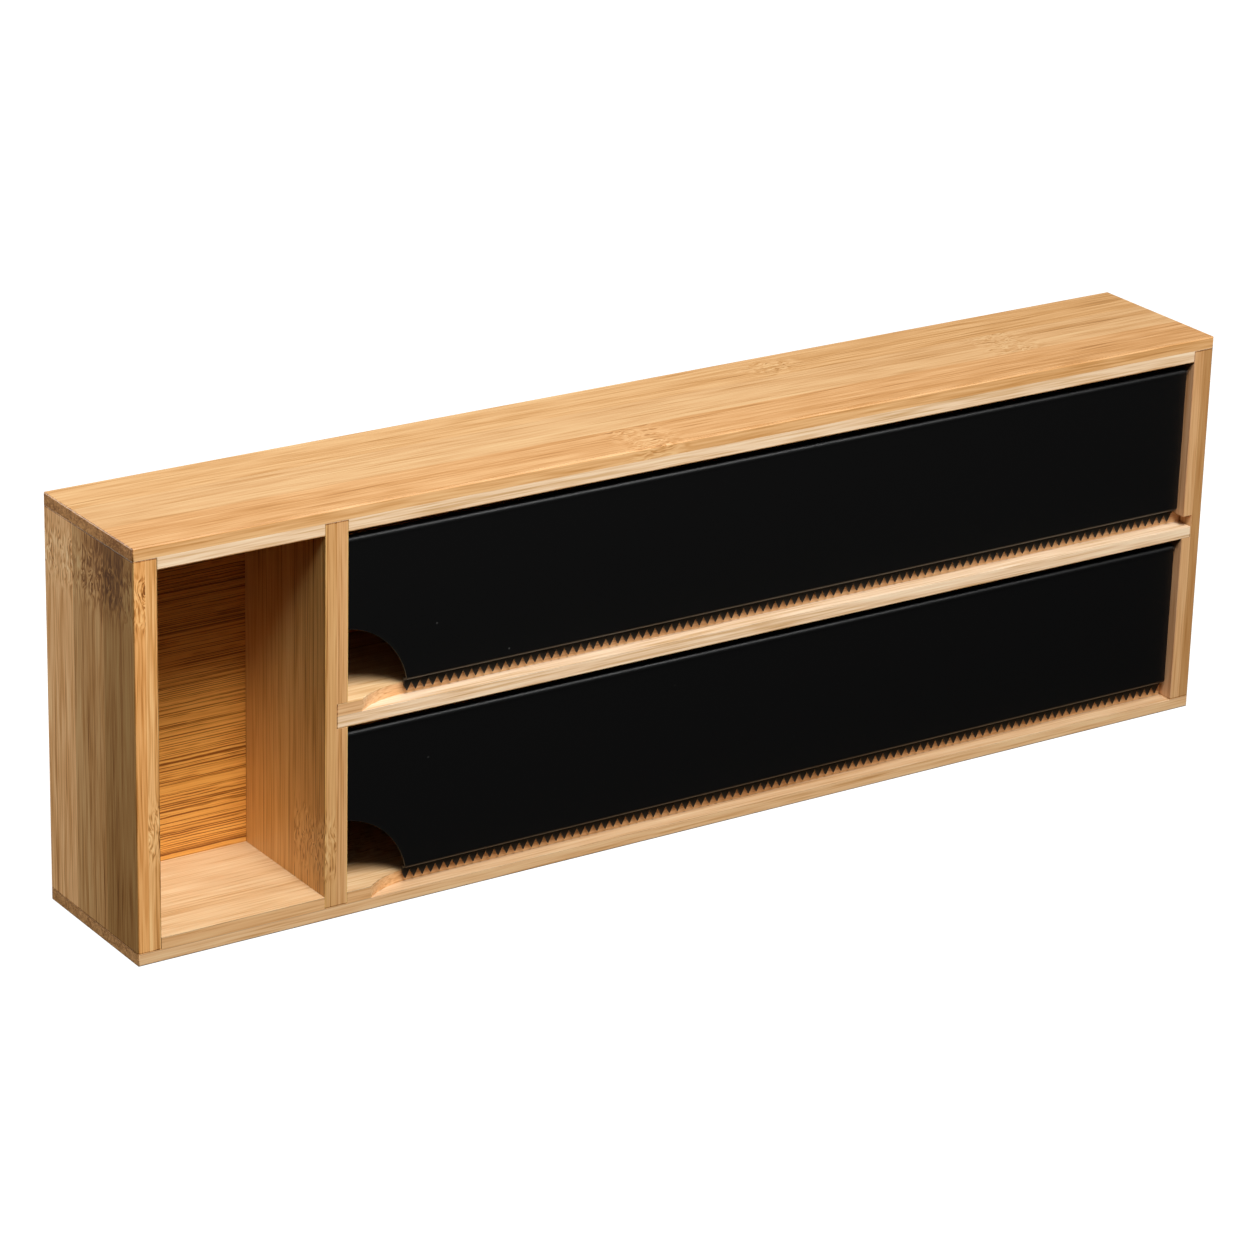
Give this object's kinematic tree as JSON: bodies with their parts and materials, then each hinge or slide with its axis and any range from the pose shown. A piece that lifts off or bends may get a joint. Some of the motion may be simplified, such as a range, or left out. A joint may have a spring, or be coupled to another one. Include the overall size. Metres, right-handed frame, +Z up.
{
  "type": "wrap organizer",
  "caption": "Bamboo box with an open compartment beside stacked roll bays, each closed by a hinged black flap with a finger cut-out and a toothed cutting lip.",
  "frame": {"origin": "middle of the box's underside", "axes": "+X along the box from the open compartment to the roll bays, +Y from the open front to the back panel, +Z up"},
  "size_m": [0.411, 0.057, 0.135],
  "materials": {
    "bamboo": "sanded strip-laminated bamboo with a clear satin oil finish",
    "bamboo_back": "darker bamboo sheet, grain along its length, clear satin finish",
    "black_coating": "satin black powder coat on bent sheet steel",
    "rod_steel": "drawn steel wire"
  },
  "bodies": {
    "box": {"top_board": "bamboo", "bottom_board": "bamboo", "left_side": "bamboo", "right_side": "bamboo", "divider": "bamboo", "shelf": "bamboo", "back_panel": "bamboo_back"},
    "upper_flap_assembly": {"upper_flap": "black_coating", "upper_hinge_rod": "rod_steel"},
    "lower_flap_assembly": {"lower_flap": "black_coating", "lower_hinge_rod": "rod_steel"}
  },
  "joints": [
    {"name": "upper_flap_hinge", "type": "hinge", "parent": "box", "child": "upper_flap_assembly", "pos_m": [0, -0.02437, 0.12237], "axis": [-1, 0, 0], "range_deg": [0, 115]},
    {"name": "lower_flap_hinge", "type": "hinge", "parent": "box", "child": "lower_flap_assembly", "pos_m": [0, -0.02437, 0.05887], "axis": [-1, 0, 0], "range_deg": [0, 115]}
  ]
}
